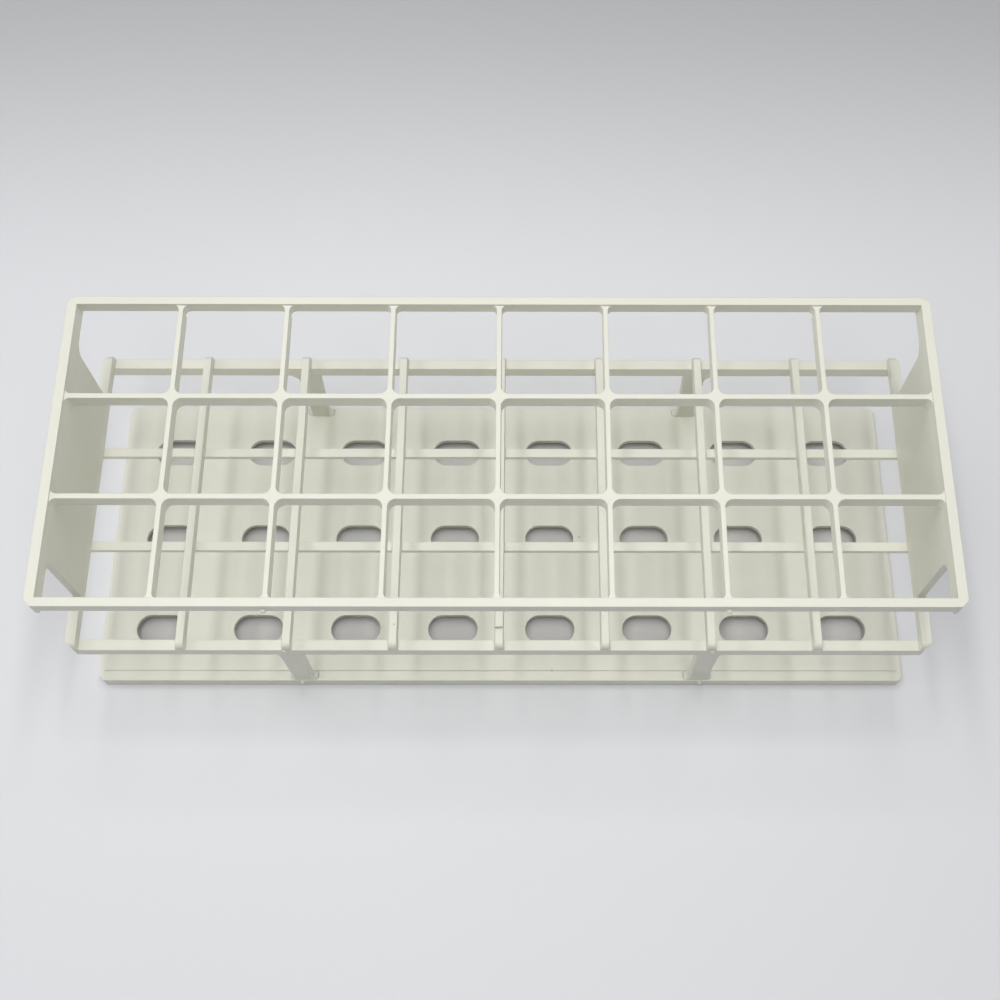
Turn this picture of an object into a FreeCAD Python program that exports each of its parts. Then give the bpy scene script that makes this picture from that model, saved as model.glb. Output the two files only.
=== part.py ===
import FreeCAD, Part
import math
import os

# Test tube rack for 24 wide tubes: three moulded levels, two end panels and four legs that plug together.
# Units are millimetres. The origin is the centre of the underside, +X runs along the rack, +Z is up.
# Spans and pairs of sizes are given as (low, high).

# Places
pitch = 36.0
columns = 8
rows = 3

# Footprints in plan
grid_length = 293.0
top_width = 110.8
middle_width = 111.8
base_length = 295.0
base_width = 111.5
corner_chamfer = 2.2

# Heights above the surface that the rack stands on
base_top = 5.8
long_bar_bottom = 39.5
long_bar_top = 44.5
cross_bar_top = 48.0
rack_height = 89.8

# Thin members widen downwards by this much per millimetre on each side, so that they leave the mould
draft = 0.03

# Top grid
short_rail_width = 3.2
short_rail_depth = 6.5
long_rail_width = 2.95
long_rail_depth = 4.5
divider_drop = 0.8
divider_depth = 6.0
cross_divider_width = 1.5
long_divider_width = 1.7
crossing_radius = 2.7
junction_radius = 1.8

# Middle grid
outer_bar_width = 3.7
inner_bar_width = 3.3
inner_bar_depth = 1.9
cross_bar_width = 2.6
cross_bar_spread = 0.3
bar_end_radius = 2.0
witness_groove_y = -49.2
witness_groove_width = 1.4
witness_groove_depth = 1.6

# Base plate
slot_length = 18.3
slot_width = 10.7
base_skin = 2.0
border_width = 3.4
side_border_width = 3.4
rib_thickness = 1.8
border_groove_width = 0.5
border_groove_depth = 0.35
base_end_round = 1.6
base_side_round = 0.35

# End panels
panel_thickness = 2.6
panel_half_width = 37.7
panel_foot_flare = 1.6
panel_head_flare = 5.0

# Legs
leg_x = 2 * pitch
leg_inner_y = 51.9
leg_outer_y = 55.4
leg_bottom_width = 7.0
leg_top_width = 8.2
leg_foot_inner_flare = 2.6
leg_foot_outer_flare = 1.6
leg_head_inner_flare = 1.8
leg_head_outer_flare = 5.6
leg_edge_round = 0.9

# A flare is an arc of this angle, so that it runs out at a blunt edge
flare_angle = math.radians(75.0)

# Tongues on panels and legs, and the sockets that hold them
tongue_thickness = 1.4
panel_tongue_height = 2.2
leg_tongue_height = 2.6
panel_tongue_length = 10.0
panel_tongue_spacing = 26.0
leg_tongue_length = 4.6
socket_clearance = 0.05
socket_end_gap = 0.3

# Gate marks left by moulding on the front face of each level: round knobs that all reach out to one plane
gate_x = leg_x + 0.6
gate_radius = 1.0
gate_tip_y = -56.65

# Cutting tools run past the faces that they cut by this much
overrun = 1.0

rim_bottom = rack_height - short_rail_depth
rim_inner_x = grid_length / 2 - short_rail_width
rim_inner_y = top_width / 2 - long_rail_width
rim_foot_x = rim_inner_x - draft * short_rail_depth
rim_foot_y = rim_inner_y - draft * short_rail_depth
panel_tongue_x = (rim_foot_x + grid_length / 2) / 2
leg_tongue_y = (leg_inner_y + leg_outer_y) / 2


def vector(x, y, z):
    return FreeCAD.Vector(x, y, z)


def block(x0, x1, y0, y1, z0, z1):
    """An upright box between two corners."""
    return Part.makeBox(x1 - x0, y1 - y0, z1 - z0, vector(x0, y0, z0))


def prism(points, direction):
    """The solid swept by a closed polygon."""
    face = Part.Face(Part.makePolygon(points + points[:1]))
    return face.extrude(direction)


def plan_block(length, width, z0, z1):
    """A level's outer shape: a rectangle in plan with its four corners chamfered."""
    x = length / 2
    y = width / 2
    c = corner_chamfer
    quarter = [(x, y - c), (x - c, y)]
    outline = quarter + [(-px, py) for px, py in reversed(quarter)]
    outline += [(-px, -py) for px, py in outline]
    return prism([vector(px, py, z0) for px, py in outline], vector(0, 0, z1 - z0))


def join(solids):
    """One clean solid from pieces that touch or overlap."""
    return solids[0].fuse(solids[1:]).removeSplitter()


def drop(solid, tools):
    """The solid with every tool cut away."""
    return solid.cut(tools).removeSplitter()


def gate_marks(z):
    """Two small round marks on a level's front face, nearly in line with the legs."""
    return [Part.makeSphere(gate_radius, vector(x, gate_tip_y + gate_radius, z)) for x in (-gate_x, gate_x)]


def tongue(centre, size, z_face, upward, socket):
    """A tongue standing on a face at a plan position, or the slightly larger socket that takes it."""
    grow = socket_clearance if socket else 0.0
    half_x = size[0] / 2 + grow
    half_y = size[1] / 2 + grow
    reach = size[2] + (socket_end_gap if socket else 0.0)
    z0, z1 = (z_face, z_face + reach) if upward else (z_face - reach, z_face)
    return block(centre[0] - half_x, centre[0] + half_x, centre[1] - half_y, centre[1] + half_y, z0, z1)


def panel_tongues(side, z_face, upward, socket=False):
    """Three tongues along one edge of an end panel, or the three sockets that take them."""
    size = (tongue_thickness, panel_tongue_length, panel_tongue_height)
    x = side * panel_tongue_x
    return [tongue((x, step * panel_tongue_spacing), size, z_face, upward, socket) for step in (-1, 0, 1)]


def leg_tongue(side_x, side_y, z_face, upward, socket=False):
    """The tongue at one end of a leg, or the socket that takes it."""
    size = (leg_tongue_length, tongue_thickness, leg_tongue_height)
    return tongue((side_x * leg_x, side_y * leg_tongue_y), size, z_face, upward, socket)


def leg_sockets(z_face, upward):
    """The four sockets in a level's face that take the legs."""
    return [leg_tongue(sx, sy, z_face, upward, socket=True) for sx in (-1, 1) for sy in (-1, 1)]


def place_span(index, count, inner_edge, member_width):
    """Low and high sides of one place, between dividers or between a divider and the rim."""
    low_line = (index - count / 2) * pitch
    high_line = low_line + pitch
    low = -inner_edge if index == 0 else low_line + member_width / 2
    high = inner_edge if index == count - 1 else high_line - member_width / 2
    return low, high


def tapered_opening(x_span, y_span, z0, z1, radii):
    """A rectangular opening that narrows downwards, with its own radius at each upright corner."""
    rings = []
    for z in (z0 - overrun, z1 + overrun):
        shrink = draft * (z1 - z)
        x0, x1 = x_span[0] + shrink, x_span[1] - shrink
        y0, y1 = y_span[0] + shrink, y_span[1] - shrink
        rings.append([vector(x0, y0, z), vector(x1, y0, z), vector(x1, y1, z), vector(x0, y1, z)])
    low, high = rings
    outlines = [low[::-1], high]
    outlines += [[low[i], low[(i + 1) % 4], high[(i + 1) % 4], high[i]] for i in range(4)]
    faces = [Part.Face(Part.makePolygon(outline + outline[:1])) for outline in outlines]
    solid = Part.Solid(Part.Shell(faces))
    for corner_low, corner_high, radius in zip(low, high, radii):
        if radius > 0:
            middle = (corner_low + corner_high) * 0.5
            upright = min(solid.Edges, key=lambda edge: edge.CenterOfMass.distanceToPoint(middle))
            solid = solid.makeFillet(radius, [upright])
    return solid


def place_radii(column, row):
    """Radii of a top-grid place, going round from its front left corner.

    They are full where dividers cross, small where a divider meets the rim, and none in the rim's corners.
    """
    radii = []
    for end_column, end_row in ((0, 0), (columns - 1, 0), (columns - 1, rows - 1), (0, rows - 1)):
        rails_met = (column == end_column) + (row == end_row)
        radii.append((crossing_radius, junction_radius, 0.0)[rails_met])
    return radii


def top_grid():
    """The top level: a deep rim at both ends, shallower long rails, and dividers set below the rim."""
    slab = plan_block(grid_length, top_width, rim_bottom, rack_height)
    below = rim_bottom - overrun
    tools = [block(-rim_foot_x, rim_foot_x, -rim_foot_y, rim_foot_y, below, rack_height - divider_depth)]
    tools.append(block(-rim_inner_x, rim_inner_x, -rim_inner_y, rim_inner_y,
                       rack_height - divider_drop, rack_height + overrun))
    divider_reach = rim_foot_y - junction_radius
    for low, high in ((-top_width, -divider_reach), (divider_reach, top_width)):
        tools.append(block(-rim_foot_x, rim_foot_x, low, high, below, rack_height - long_rail_depth))
    for column in range(columns):
        for row in range(rows):
            x_span = place_span(column, columns, rim_inner_x, cross_divider_width)
            y_span = place_span(row, rows, rim_inner_y, long_divider_width)
            tools.append(tapered_opening(x_span, y_span, rim_bottom, rack_height, place_radii(column, row)))
    for side in (-1, 1):
        tools += panel_tongues(side, rim_bottom, upward=True, socket=True)
    grid = drop(slab, tools)
    return join([grid] + gate_marks(rack_height - long_rail_depth + gate_radius))


def long_bar(y_low, y_high, z_bottom, flare_low, flare_high):
    """One bar along X of the middle grid, with draft on the sides that are asked for."""
    spread = draft * (long_bar_top - z_bottom)
    x = grid_length / 2
    points = [vector(-x, y_low - flare_low * spread, z_bottom),
              vector(-x, y_high + flare_high * spread, z_bottom),
              vector(-x, y_high, long_bar_top),
              vector(-x, y_low, long_bar_top)]
    return prism(points, vector(grid_length, 0, 0))


def cross_bar(x_low, x_high, flare_low, flare_high):
    """One bar along Y of the middle grid, laid over the long bars, with its two ends rounded over."""
    y = middle_width / 2
    section = [vector(x_low - flare_low * cross_bar_spread, -y, long_bar_top),
               vector(x_high + flare_high * cross_bar_spread, -y, long_bar_top),
               vector(x_high, -y, cross_bar_top),
               vector(x_low, -y, cross_bar_top)]
    bar = prism(section, vector(0, middle_width, 0))
    top_edges = []
    for edge in bar.Edges:
        box = edge.BoundBox
        if box.YLength < overrun and box.ZMin > cross_bar_top - overrun:
            top_edges.append(edge)
    return bar.makeFillet(bar_end_radius, top_edges)


def middle_grid():
    """The middle level: two deep outer bars and two shallow inner bars, with nine cross bars over them.

    The end cross bars are as wide as the foot of the rim, so that the end panels are flush with both.
    """
    half_width = middle_width / 2
    bars = [long_bar(-half_width, -half_width + outer_bar_width, long_bar_bottom, 0, 1),
            long_bar(half_width - outer_bar_width, half_width, long_bar_bottom, 1, 0)]
    for y in (-pitch / 2, pitch / 2):
        low = y - inner_bar_width / 2
        bars.append(long_bar(low, low + inner_bar_width, long_bar_top - inner_bar_depth, 1, 1))
    for step in range(1, columns):
        x = (step - columns / 2) * pitch
        bars.append(cross_bar(x - cross_bar_width / 2, x + cross_bar_width / 2, 1, 1))
    bars.append(cross_bar(-grid_length / 2, -rim_foot_x, 0, 1))
    bars.append(cross_bar(rim_foot_x, grid_length / 2, 1, 0))
    grid = join(bars).common(plan_block(grid_length, middle_width, long_bar_bottom, cross_bar_top))
    tools = leg_sockets(long_bar_bottom, upward=True)
    for side in (-1, 1):
        tools += panel_tongues(side, cross_bar_top, upward=False, socket=True)
    groove_front = witness_groove_y - witness_groove_width / 2
    groove_rear = witness_groove_y + witness_groove_width / 2
    tools.append(block(-cross_bar_width, cross_bar_width, groove_front, groove_rear,
                       cross_bar_top - witness_groove_depth, cross_bar_top + overrun))
    grid = drop(grid, tools)
    return join([grid] + gate_marks(long_bar_top - gate_radius / 2))


def obround(centre_x, centre_y, length, width, z0, z1):
    """An upright obround column, longer along X."""
    radius = width / 2
    reach = length / 2 - radius
    middle = block(centre_x - reach, centre_x + reach, centre_y - radius, centre_y + radius, z0, z1)
    ends = []
    for x in (centre_x - reach, centre_x + reach):
        ends.append(Part.makeCylinder(radius, z1 - z0, vector(x, centre_y, z0)))
    return join([middle] + ends)


def rounded_top_block(size, radius, along_x):
    """A large block with two rounded upper edges at the base's height, for shaping the base's top."""
    reach = base_length
    low = vector(-size / 2, -reach, -overrun) if along_x else vector(-reach, -size / 2, -overrun)
    spans = (size, 2 * reach) if along_x else (2 * reach, size)
    solid = Part.makeBox(spans[0], spans[1], base_top + overrun, low)
    edges = []
    for edge in solid.Edges:
        box = edge.BoundBox
        length = box.YLength if along_x else box.XLength
        if box.ZMin > base_top - overrun and length > reach:
            edges.append(edge)
    return solid.makeFillet(radius, edges)


def behind_border(inset, z_floor):
    """The space over the plate behind its front border, whose two ends are chamfered."""
    y_border = base_width / 2 - border_width - inset
    x_turn = base_length / 2 - corner_chamfer - inset
    x_far = base_length
    y_far = y_border + x_far - x_turn
    front = [(-x_far, -y_far), (-x_turn, -y_border), (x_turn, -y_border), (x_far, -y_far)]
    points = [vector(x, y, z_floor) for x, y in front + [(0, x_far)]]
    return prism(points, vector(0, 0, base_top + overrun - z_floor))


def base_plate():
    """The bottom level: a ribbed shell, open underneath, with a drain slot at every place."""
    plate = plan_block(base_length, base_width, 0.0, base_top)
    plate = plate.common([rounded_top_block(base_length, base_end_round, along_x=True)])
    plate = plate.common([rounded_top_block(base_width, base_side_round, along_x=False)])
    tools = leg_sockets(base_top, upward=False)
    groove = behind_border(0.0, base_top - border_groove_depth)
    tools.append(groove.cut(behind_border(border_groove_width, 0.0)))
    inner_x = base_length / 2 - side_border_width
    inner_y = base_width / 2 - border_width
    for column in range(columns):
        for row in range(rows):
            x0, x1 = place_span(column, columns, inner_x, rib_thickness)
            y0, y1 = place_span(row, rows, inner_y, rib_thickness)
            centre_x = (column - (columns - 1) / 2) * pitch
            centre_y = (row - (rows - 1) / 2) * pitch
            tools.append(block(x0, x1, y0, y1, -overrun, base_top - base_skin))
            tools.append(obround(centre_x, centre_y, slot_length, slot_width, -overrun, base_top + overrun))
    plate = drop(plate, tools)
    return join([plate] + gate_marks(base_top - 1.5 * gate_radius))


def flare_reach(radius):
    """How far a flare spreads sideways, and how tall it is."""
    return radius * (1 - math.cos(flare_angle)), radius * math.sin(flare_angle)


def flared_side(place, sign, half_widths, heights, flares):
    """One side of an upright plate: an edge that sweeps outwards in an arc where it meets each level."""
    joints = []
    arcs = []
    for half_width, height, radius, up in zip(half_widths, heights, flares, (1, -1)):
        spread, rise = flare_reach(radius)
        shank = place(sign * half_width, height + up * rise)
        middle_u = half_width + radius * (1 - math.cos(flare_angle / 2))
        middle_z = height + up * (rise - radius * math.sin(flare_angle / 2))
        edge = place(sign * (half_width + spread), height)
        arcs.append(Part.Arc(edge, place(sign * middle_u, middle_z), shank))
        joints.append(shank)
    return [arcs[0].toShape(), Part.makeLine(*joints), arcs[1].toShape()]


def flared_plate(place, depth, half_widths, heights, low_flares, high_flares):
    """An upright plate between two levels, with the foot and head flares of its low and its high side."""
    edges = flared_side(place, -1, half_widths, heights, low_flares)
    edges += flared_side(place, 1, half_widths, heights, high_flares)
    for i in (0, 1):
        low_end = place(-half_widths[i] - flare_reach(low_flares[i])[0], heights[i])
        high_end = place(half_widths[i] + flare_reach(high_flares[i])[0], heights[i])
        edges.append(Part.makeLine(low_end, high_end))
    return Part.Face(Part.Wire(Part.__sortEdges__(edges))).extrude(depth)


def end_panel(side):
    """A flat panel standing on the end cross bar and carrying the short rail of the top grid."""
    x_start = rim_foot_x if side > 0 else -rim_foot_x - panel_thickness
    flares = (panel_foot_flare, panel_head_flare)
    plate = flared_plate(lambda u, z: vector(x_start, u, z), vector(panel_thickness, 0, 0),
                         (panel_half_width, panel_half_width), (cross_bar_top, rim_bottom), flares, flares)
    tongues = panel_tongues(side, rim_bottom, upward=True)
    tongues += panel_tongues(side, cross_bar_top, upward=False)
    return join([plate] + tongues)


def round_upright_edges(post):
    """The leg with its four long edges rounded, flares included."""
    edges = []
    for edge in post.Edges:
        box = edge.BoundBox
        if box.YLength < leg_edge_round and box.ZLength > leg_edge_round:
            edges.append(edge)
    return post.makeFillet(leg_edge_round, edges)


def leg(side_x, side_y):
    """A short leg between the base plate and an outer bar of the middle grid."""
    y_start = leg_inner_y if side_y > 0 else -leg_outer_y
    inner_flares = (leg_foot_inner_flare, leg_head_inner_flare)
    outer_flares = (leg_foot_outer_flare, leg_head_outer_flare)
    low_flares, high_flares = (inner_flares, outer_flares) if side_x > 0 else (outer_flares, inner_flares)
    depth = vector(0, leg_outer_y - leg_inner_y, 0)
    half_widths = (leg_bottom_width / 2, leg_top_width / 2)
    post = flared_plate(lambda u, z: vector(side_x * leg_x + u, y_start, z), depth,
                        half_widths, (base_top, long_bar_bottom), low_flares, high_flares)
    tongues = [leg_tongue(side_x, side_y, long_bar_bottom, upward=True),
               leg_tongue(side_x, side_y, base_top, upward=False)]
    return join([round_upright_edges(post)] + tongues)


def all_parts():
    return {
        "top_grid": top_grid(),
        "middle_grid": middle_grid(),
        "base_plate": base_plate(),
        "left_end_panel": end_panel(-1),
        "right_end_panel": end_panel(1),
        "front_left_leg": leg(-1, -1),
        "front_right_leg": leg(1, -1),
        "rear_left_leg": leg(-1, 1),
        "rear_right_leg": leg(1, 1),
    }


os.makedirs("parts", exist_ok=True)
for name, shape in all_parts().items():
    shape.exportStep("parts/" + name + ".step")
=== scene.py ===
import math

import bpy
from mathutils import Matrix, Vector


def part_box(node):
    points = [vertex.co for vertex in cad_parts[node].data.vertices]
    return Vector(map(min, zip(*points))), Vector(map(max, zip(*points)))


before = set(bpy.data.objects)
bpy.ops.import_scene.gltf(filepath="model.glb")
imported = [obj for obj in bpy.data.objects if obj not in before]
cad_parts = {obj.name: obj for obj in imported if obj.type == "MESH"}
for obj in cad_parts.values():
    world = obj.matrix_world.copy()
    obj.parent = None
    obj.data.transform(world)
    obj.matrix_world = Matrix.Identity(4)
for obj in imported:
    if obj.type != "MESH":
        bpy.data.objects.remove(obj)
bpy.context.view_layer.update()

# The looks of the test tube rack: satin ivory plastic on every moulding, a pale floor, soft light and the
# camera. Lengths are metres in the rack's own frame: X along it, Y to the rear, Z up, floor at Z = 0.

base_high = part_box("base_plate")[1]
millimetre = 0.001

# The place in this list sets how a piece's marks are shuffled
pieces = ("base_plate", "middle_grid", "top_grid", "left_end_panel", "right_end_panel",
          "front_left_leg", "front_right_leg", "rear_left_leg", "rear_right_leg")

# Linear colours
ivory = (0.802, 0.800, 0.702)
ivory_cloud = tuple(channel * 0.965 for channel in ivory)
ivory_mottle = tuple(channel * 0.95 for channel in ivory)
# Edges painted lighter: partly real wear, partly a painted highlight where edges catch the light
ivory_worn_and_highlit = (0.865, 0.862, 0.790)
# Painted shade in corners and creases
corner_painted_shade = (0.560, 0.540, 0.420)
resin_speck = (0.300, 0.250, 0.160)
paper = (0.780, 0.784, 0.805)
paper_shade = (0.745, 0.749, 0.776)
dust = (0.250, 0.250, 0.260)
# Painted shade on the floor under the plate
under_plate_painted_shade = (0.420, 0.390, 0.300)
# Mixed into the floor as painted shade towards its rear
black = (0.0, 0.0, 0.0)
daylight = (0.97, 0.98, 1.0)

# How far each piece's patterns are shifted from those of the piece before it
piece_shift = (0.37, 0.53, 0.71)

# How fine each pattern in the plastic is, in features per metre. The scratches run along X
cloud_scale = 14.0
mottle_scale = 160.0
wear_scale = 420.0
pit_scale = 900.0
grain_scale = 2600.0
speck_scale = 95.0
scratch_scale = (60.0, 900.0, 900.0)

# How deep the marks in the plastic are, how far the worn edges with their painted highlight and the painted
# shade in corners reach from an edge or a corner, and how far light gets into the plastic
cloud_depth = 0.25 * millimetre
pit_depth = 0.030 * millimetre
grain_depth = 0.012 * millimetre
scratch_depth = 0.008 * millimetre
edge_reach = 0.35 * millimetre
shade_reach = 5.0 * millimetre
glow_depth = 1.2 * millimetre

# How strongly each mark colours the plastic, and how rare specks are: 1 would mean none at all
mottle_share = 0.35
# How strongly edges are painted lighter, as wear and as a painted highlight
worn_and_highlit_share = 0.55
# How strongly the painted shade darkens corners and creases
corner_shade_share = 0.30
speck_share = 0.55
speck_rarity = 0.86

# The plastic's roughness runs between these two, and grain, rubbing and scratches change it by this much
satin_low = 0.40
satin_high = 0.50
grain_change = 0.03
rubbed_change = 0.10
scratch_change = 0.08

# How fine, deep and strong the marks in the floor's paper are, how rare its dust is, and its roughness
paper_cloud_scale = 3.0
paper_fibre_scale = 700.0
paper_dust_scale = 22.0
paper_fibre_depth = 0.05 * millimetre
paper_cloud_share = 0.35
dust_share = 0.6
dust_rarity = 0.90
paper_roughness = 0.75

# The floor reaches this far to each side, and painted shade darkens it towards the rear between these two
# places, where the light falls off
floor_reach = 6.0
rear_falloff_from_y = 0.10
rear_falloff_to_y = 0.31
rear_falloff_share = 0.35

# Painted shade on the floor under the plate, darker and warmer as if lit only through the plastic; it fades
# out between these distances inside the plate's edge
under_plate_shade_share = 0.30
fade_from = 4 * millimetre
fade_to = 1 * millimetre

# The sky is weak as a light, but the camera sees it as a pale backdrop. The floor fades into that backdrop
# between these two distances
sky_strength = 0.09
backdrop_strength = 0.62
backdrop_from = 0.5
backdrop_to = 1.6

# Camera: lens and film width in millimetres, shifts as shares of the film width, turns in degrees, and its
# place, with the height counted from the top of the base plate
camera_lens = 49.13
film_width = 36.0
camera_shift = (-0.0303, 0.0083)
camera_turns = (22.62, -0.18, 0.07)
camera_x = 0.0091
camera_y = -0.1895
camera_above_base = 0.4849


class Shader:
    """A short way to build a material's nodes: each call adds one node and returns its output."""

    def __init__(self, name):
        self.material = bpy.data.materials.new(name)
        self.material.use_nodes = True
        self.tree = self.material.node_tree
        self.tree.nodes.clear()
        self.place = self.add("ShaderNodeTexCoord").outputs["Object"]

    def add(self, kind, **settings):
        node = self.tree.nodes.new(kind)
        for key, value in settings.items():
            setattr(node, key, value)
        return node

    def feed(self, socket, value):
        if isinstance(value, bpy.types.NodeSocket):
            self.tree.links.new(value, socket)
        else:
            socket.default_value = value

    def math(self, operation, first, second=0.0, clamp=False):
        node = self.add("ShaderNodeMath", operation=operation, use_clamp=clamp)
        self.feed(node.inputs[0], first)
        self.feed(node.inputs[1], second)
        return node.outputs[0]

    def spread(self, value, low, high, out_low=0.0, out_high=1.0):
        """Maps low..high of a value to out_low..out_high, and holds it there."""
        node = self.add("ShaderNodeMapRange", interpolation_type="SMOOTHSTEP")
        for socket, given in zip(node.inputs, (value, low, high, out_low, out_high)):
            self.feed(socket, given)
        return node.outputs[0]

    def within(self, value, half_width):
        """1 where a coordinate is inside plus or minus the half width, and 0 outside."""
        return self.spread(self.math("ABSOLUTE", value), half_width - fade_to, half_width - fade_from)

    def stretched(self, scale, offset=(0.0, 0.0, 0.0)):
        """The place, scaled and shifted along each axis."""
        node = self.add("ShaderNodeMapping")
        self.feed(node.inputs["Vector"], self.place)
        self.feed(node.inputs["Scale"], scale)
        self.feed(node.inputs["Location"], offset)
        return node.outputs[0]

    def noise(self, place, scale, detail=2.0, roughness=0.5):
        node = self.add("ShaderNodeTexNoise")
        self.feed(node.inputs["Vector"], place)
        self.feed(node.inputs["Scale"], scale)
        self.feed(node.inputs["Detail"], detail)
        self.feed(node.inputs["Roughness"], roughness)
        return node.outputs[0]

    def cells(self, place, scale):
        """Distance to the nearest cell point, and a random number for each cell."""
        node = self.add("ShaderNodeTexVoronoi")
        self.feed(node.inputs["Vector"], place)
        self.feed(node.inputs["Scale"], scale)
        red = self.add("ShaderNodeSeparateColor")
        self.feed(red.inputs[0], node.outputs["Color"])
        return node.outputs["Distance"], red.outputs[0]

    def mix(self, share, first, second):
        """Mixes two colours."""
        node = self.add("ShaderNodeMix", data_type="RGBA")
        self.feed(node.inputs["Factor"], share)
        for socket, colour in ((node.inputs[6], first), (node.inputs[7], second)):
            self.feed(socket, colour if isinstance(colour, bpy.types.NodeSocket) else (*colour, 1.0))
        return node.outputs[2]

    def bump(self, height, distance, strength=1.0, normal=None):
        node = self.add("ShaderNodeBump")
        self.feed(node.inputs["Height"], height)
        self.feed(node.inputs["Distance"], distance)
        self.feed(node.inputs["Strength"], strength)
        if normal is not None:
            self.feed(node.inputs["Normal"], normal)
        return node.outputs[0]

    def finish(self, colour, roughness, normal, **extra):
        surface = self.add("ShaderNodeBsdfPrincipled")
        self.feed(surface.inputs["Base Color"], colour)
        self.feed(surface.inputs["Roughness"], roughness)
        self.feed(surface.inputs["Normal"], normal)
        for key, value in extra.items():
            self.feed(surface.inputs[key.replace("_", " ")], value)
        output = self.add("ShaderNodeOutputMaterial")
        self.tree.links.new(surface.outputs[0], output.inputs["Surface"])
        return self.material


def moulded_plastic(name, seed):
    """Satin ivory polypropylene with mould grain, faint clouding, specks, worn edges with a painted
    highlight and painted shade in corners.
    """
    s = Shader(name)
    shifted = s.stretched((1.0, 1.0, 1.0), tuple(seed * shift for shift in piece_shift))
    clouds = s.noise(shifted, cloud_scale, detail=3.0)
    mottle = s.noise(shifted, mottle_scale, detail=4.0, roughness=0.6)
    grain = s.noise(shifted, grain_scale, detail=2.0, roughness=0.6)
    pits = s.noise(shifted, pit_scale, detail=3.0, roughness=0.55)
    drawn_out = s.stretched(scratch_scale, (seed, seed, seed))
    scratches = s.spread(s.noise(drawn_out, 1.0, detail=2.0), low=0.66, high=0.74)

    # Edges are found by how far a rounded normal leans away from the real one
    edge = s.add("ShaderNodeBevel", samples=6)
    s.feed(edge.inputs["Radius"], edge_reach)
    geometry = s.add("ShaderNodeNewGeometry")
    facing = s.add("ShaderNodeVectorMath", operation="DOT_PRODUCT")
    s.feed(facing.inputs[0], edge.outputs[0])
    s.feed(facing.inputs[1], geometry.outputs["True Normal"])
    # Edges painted lighter: partly real rubbing, partly a painted highlight where edges catch the light
    worn_and_highlit_edge = s.spread(facing.outputs["Value"], low=0.995, high=0.86)
    broken = s.spread(s.noise(shifted, wear_scale, detail=3.0), low=0.35, high=0.62)
    worn_and_highlit_edge = s.math("MULTIPLY", worn_and_highlit_edge, broken)

    # Painted shade: corners and creases, where little light gets in, are painted darker, unevenly with the
    # mottle
    corner = s.add("ShaderNodeAmbientOcclusion", samples=6)
    s.feed(corner.inputs["Distance"], shade_reach)
    corner_shade = s.spread(corner.outputs["AO"], low=0.75, high=0.15)
    corner_shade = s.math("MULTIPLY", corner_shade, s.spread(mottle, low=0.30, high=0.70, out_low=0.4))

    near, pick = s.cells(shifted, speck_scale)
    speck = s.spread(near, low=0.050, high=0.020)
    speck = s.math("MULTIPLY", speck, s.math("GREATER_THAN", pick, speck_rarity))

    colour = s.mix(s.spread(clouds, low=0.30, high=0.70), ivory, ivory_cloud)
    colour = s.mix(s.spread(mottle, low=0.35, high=0.75, out_high=mottle_share), colour, ivory_mottle)
    # Worn edges, painted lighter as wear and as a painted highlight
    colour = s.mix(s.math("MULTIPLY", worn_and_highlit_edge, worn_and_highlit_share), colour, ivory_worn_and_highlit)
    # Painted shade in corners and creases
    colour = s.mix(s.math("MULTIPLY", corner_shade, corner_shade_share), colour, corner_painted_shade)
    colour = s.mix(s.math("MULTIPLY", speck, speck_share), colour, resin_speck)

    roughness = s.spread(mottle, low=0.25, high=0.75, out_low=satin_low, out_high=satin_high)
    uneven = s.spread(grain, low=0.3, high=0.7, out_low=-grain_change, out_high=grain_change)
    roughness = s.math("ADD", roughness, uneven)
    roughness = s.math("SUBTRACT", roughness, s.math("MULTIPLY", worn_and_highlit_edge, rubbed_change))
    smoother = s.math("MULTIPLY", scratches, scratch_change)
    roughness = s.math("SUBTRACT", roughness, smoother, clamp=True)

    normal = s.bump(clouds, cloud_depth, strength=0.5, normal=edge.outputs[0])
    normal = s.bump(pits, pit_depth, strength=0.6, normal=normal)
    normal = s.bump(grain, grain_depth, strength=0.7, normal=normal)
    normal = s.bump(scratches, scratch_depth, strength=0.5, normal=normal)
    return s.finish(colour, roughness, normal, Subsurface_Weight=0.12, Subsurface_Radius=(1.0, 0.95, 0.7),
                    Subsurface_Scale=glow_depth, IOR=1.49)


def dress_rack():
    """Every piece gets its own plastic, so that no two pieces carry the same marks."""
    for seed, piece in enumerate(pieces, start=1):
        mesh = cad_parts[piece].data
        mesh.materials.clear()
        mesh.materials.append(moulded_plastic(piece + "_plastic", seed))


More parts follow.
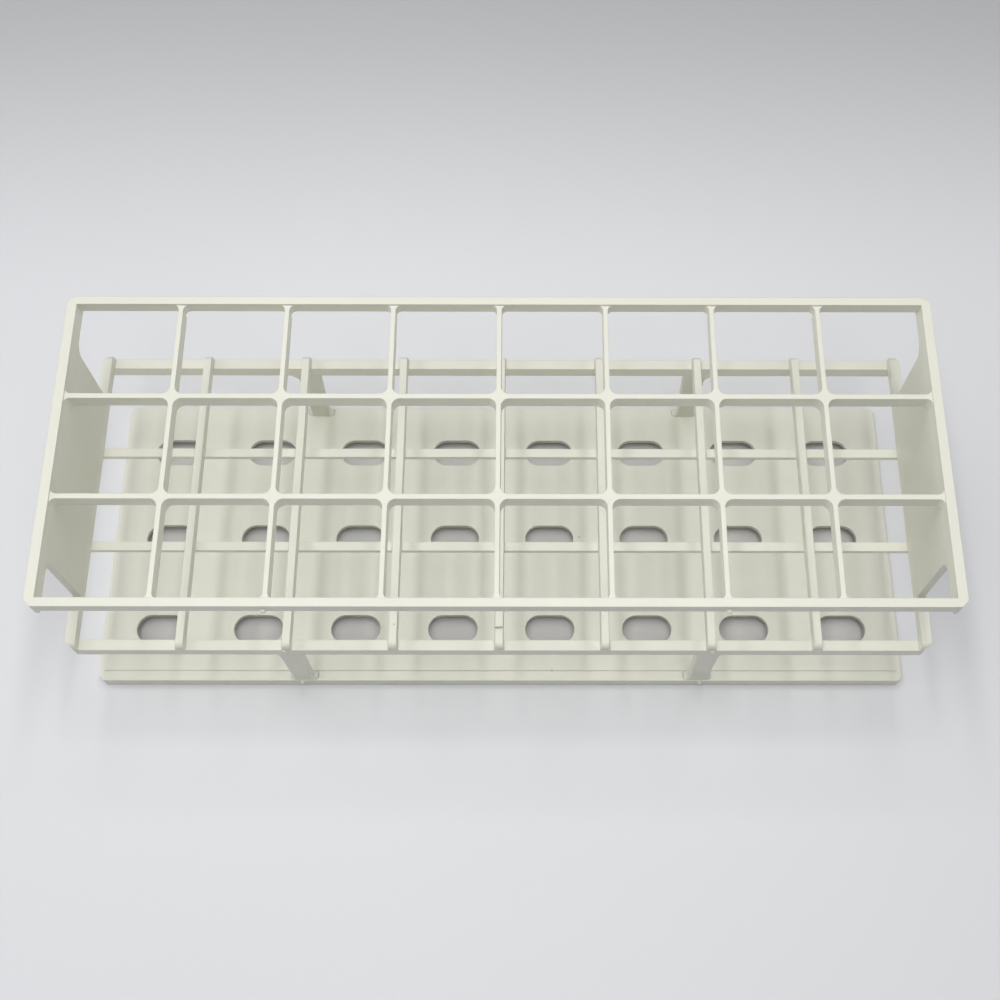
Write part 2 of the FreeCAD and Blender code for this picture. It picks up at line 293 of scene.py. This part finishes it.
def floor_paper():
    """Matt pale paper with faint clouding and a few specks of dust.

    Painted shade darkens it towards the rear, where the light falls off, and painted shade under the plate
    makes it darker and warmer, as if lit only by light that comes through plastic.
    """
    s = Shader("floor_paper")
    clouds = s.noise(s.place, paper_cloud_scale, detail=4.0)
    fibre = s.noise(s.place, paper_fibre_scale, detail=4.0, roughness=0.7)
    near, pick = s.cells(s.place, paper_dust_scale)
    speck = s.spread(near, low=0.030, high=0.014)
    speck = s.math("MULTIPLY", speck, s.math("GREATER_THAN", pick, dust_rarity))
    axes = s.add("ShaderNodeSeparateXYZ")
    s.feed(axes.inputs[0], s.place)
    under_length = s.within(axes.outputs["X"], base_high.x)
    under_width = s.within(axes.outputs["Y"], base_high.y)
    under_plate = s.math("MULTIPLY", under_length, under_width)

    colour = s.mix(s.spread(clouds, low=0.35, high=0.65, out_high=paper_cloud_share), paper, paper_shade)
    colour = s.mix(s.math("MULTIPLY", speck, dust_share), colour, dust)
    # Painted shade: the light's falloff towards the rear is painted into the paper
    colour = s.mix(s.spread(axes.outputs["Y"], rear_falloff_from_y, rear_falloff_to_y, out_high=rear_falloff_share), colour, black)
    # Painted shade under the plate: darker and warmer, as if lit only through the plastic
    colour = s.mix(s.math("MULTIPLY", under_plate, under_plate_shade_share), colour, under_plate_painted_shade)

    distance = s.add("ShaderNodeVectorMath", operation="LENGTH")
    s.feed(distance.inputs[0], s.place)
    far = s.spread(distance.outputs["Value"], backdrop_from, backdrop_to, out_high=backdrop_strength)
    glow = s.math("MULTIPLY", far, s.add("ShaderNodeLightPath").outputs["Is Camera Ray"])
    normal = s.bump(fibre, paper_fibre_depth, strength=0.4)
    return s.finish(colour, paper_roughness, normal, Emission_Color=(*daylight, 1.0), Emission_Strength=glow)


def floor():
    """A wide sheet on the floor that the rack stands on."""
    mesh = bpy.data.meshes.new("floor")
    around = ((-1, -1), (1, -1), (1, 1), (-1, 1))
    mesh.from_pydata([(x * floor_reach, y * floor_reach, 0.0) for x, y in around], [], [(0, 1, 2, 3)])
    mesh.materials.append(floor_paper())
    sheet = bpy.data.objects.new("floor", mesh)
    bpy.context.scene.collection.objects.link(sheet)


def softbox(name, place, target, width, depth, power):
    """A rectangular soft light that points at a target. Off to the side, its width lies along Y."""
    data = bpy.data.lights.new(name, "AREA")
    data.shape = "RECTANGLE"
    data.size = width
    data.size_y = depth
    data.energy = power
    lamp = bpy.data.objects.new(name, data)
    lamp.location = place
    lamp.rotation_euler = (Vector(target) - Vector(place)).to_track_quat("-Z", "Y").to_euler()
    bpy.context.scene.collection.objects.link(lamp)


def sky():
    """A weak cool light from all round, which the camera sees as a pale backdrop."""
    world = bpy.data.worlds.new("sky")
    world.use_nodes = True
    nodes = world.node_tree.nodes
    seen = nodes.new("ShaderNodeLightPath").outputs["Is Camera Ray"]
    strength = nodes.new("ShaderNodeMapRange")
    strength.inputs["To Min"].default_value = sky_strength
    strength.inputs["To Max"].default_value = backdrop_strength
    background = nodes["Background"]
    background.inputs["Color"].default_value = (*daylight, 1.0)
    world.node_tree.links.new(seen, strength.inputs["Value"])
    world.node_tree.links.new(strength.outputs[0], background.inputs["Strength"])
    bpy.context.scene.world = world


def light():
    """Two strip lamps above the rack, a wide softbox between them, two side softboxes and a weak sky.

    Powers are in watts.
    """
    softbox("overhead", (-0.08, -0.03, 0.90), (-0.08, -0.03, 0.0), width=0.90, depth=0.90, power=3.7)
    softbox("left_strip", (-0.17, 0.0, 1.00), (0.0, 0.0, 0.0), width=0.90, depth=0.08, power=2.1)
    softbox("right_strip", (0.17, 0.0, 1.00), (0.0, 0.0, 0.0), width=0.90, depth=0.08, power=2.1)
    softbox("left_side", (-1.0, 0.0, 0.45), (0.0, 0.0, 0.05), width=1.0, depth=0.8, power=3.7)
    softbox("right_side", (1.0, 0.0, 0.45), (0.0, 0.0, 0.05), width=1.0, depth=0.8, power=1.7)
    sky()
    bpy.context.scene.view_settings.view_transform = "Standard"


def camera():
    """The camera stands in front of the rack and above it, looking steeply down."""
    data = bpy.data.cameras.new("camera")
    data.sensor_width = film_width
    data.lens = camera_lens
    data.shift_x, data.shift_y = camera_shift
    eye = bpy.data.objects.new("camera", data)
    eye.location = (camera_x, camera_y, base_high.z + camera_above_base)
    eye.rotation_mode = "ZYX"
    eye.rotation_euler = [math.radians(angle) for angle in camera_turns]
    bpy.context.scene.collection.objects.link(eye)
    bpy.context.scene.camera = eye


dress_rack()
floor()
light()
camera()
